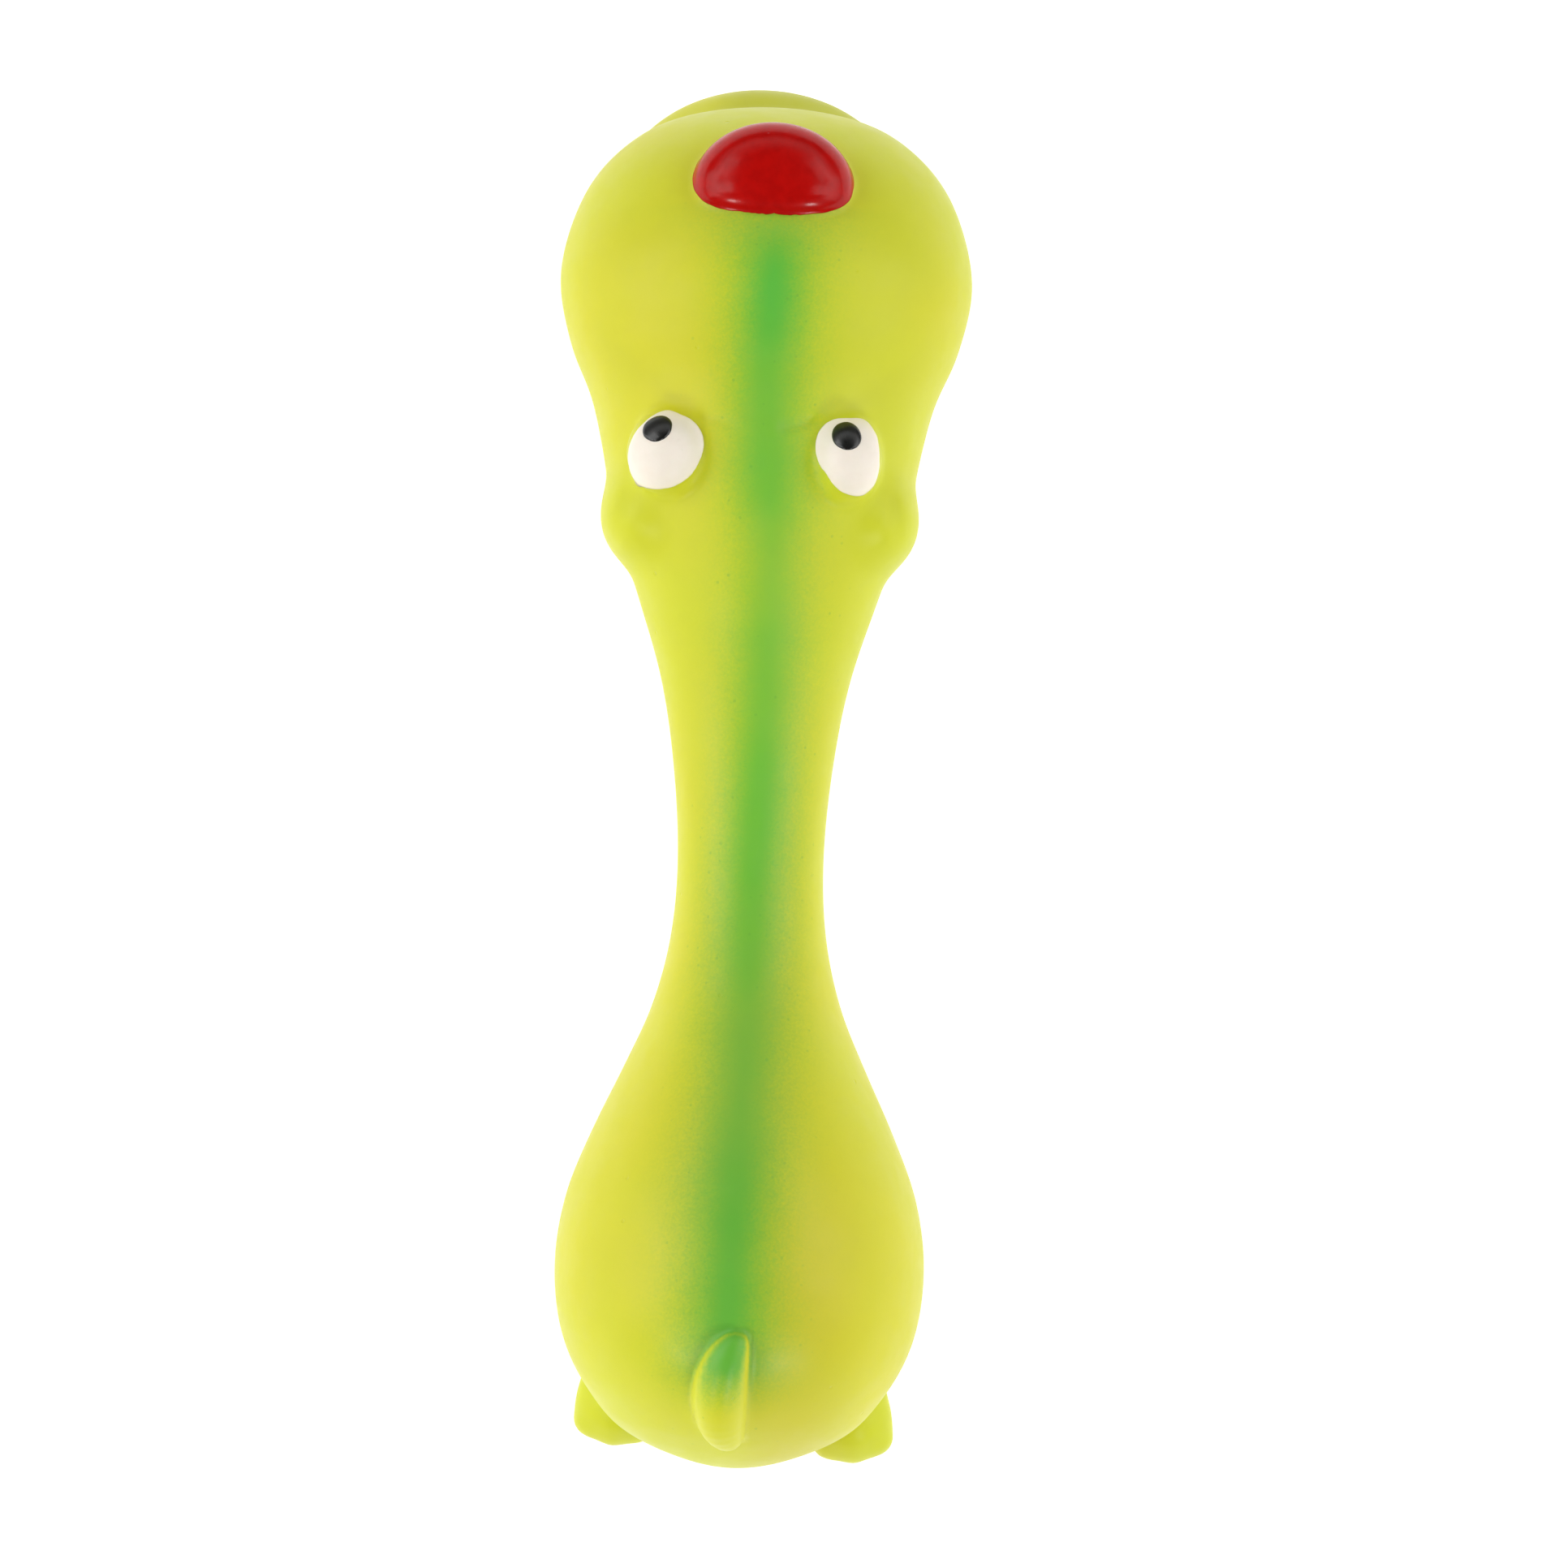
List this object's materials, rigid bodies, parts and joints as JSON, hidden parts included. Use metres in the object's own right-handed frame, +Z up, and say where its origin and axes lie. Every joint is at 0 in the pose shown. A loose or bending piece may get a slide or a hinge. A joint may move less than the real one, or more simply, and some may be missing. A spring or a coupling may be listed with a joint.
{
  "type": "latex squeak toy",
  "caption": "Long-bodied moulded latex dog with a big muzzle, narrow waist and round rump, hand-painted nose and eyes, fibre filling and a bellows squeaker that gives when squeezed.",
  "frame": {"origin": "under the middle of the toy's length, on the floor it lies on", "axes": "+Z up, the dog faces -Y, its tail end is at +Y, and +X is the dog's left side"},
  "size_m": [0.051, 0.1723, 0.0452],
  "materials": {
    "latex_lime": "satin moulded latex, lime with an airbrushed green stripe along the back",
    "paint_red": "thick glossy red paint",
    "paint_white": "satin warm white paint",
    "paint_black": "glossy black paint",
    "fibre_fill": "loose white polyester fibre",
    "whistle_plastic": "moulded natural polyethylene",
    "reed_plastic": "moulded white polystyrene",
    "reed_film": "thin polyester film",
    "bellows_plastic": "blow-moulded translucent polyethylene"
  },
  "bodies": {
    "dog": {"latex_skin": "latex_lime", "nose_coat": "paint_red", "eye_white_left": "paint_white", "eye_white_right": "paint_white", "pupil_left": "paint_black", "pupil_right": "paint_black", "muzzle_filling": "fibre_fill", "waist_filling": "fibre_fill", "rump_filling": "fibre_fill", "whistle_barrel": "whistle_plastic", "whistle_cap": "whistle_plastic", "reed_block": "reed_plastic", "reed_wedge": "reed_plastic", "squeaker_bellows": "bellows_plastic"},
    "crown": {"bellows_crown": "bellows_plastic"},
    "reed_tongue": {"reed": "reed_film"}
  },
  "joints": [
    {"name": "squeeze", "type": "slide", "parent": "dog", "child": "crown", "axis": [0, 0, -1], "range_m": [0, 0.009], "stiffness_N_per_m": 300, "deforming": ["squeaker_bellows"]},
    {"name": "reed_flutter", "type": "hinge", "parent": "dog", "child": "reed_tongue", "pos_m": [0, 0.06109, 0.00985], "axis": [1, 0, 0], "range_deg": [0, 6], "stiffness_Nm_per_rad": 0.0001}
  ]
}
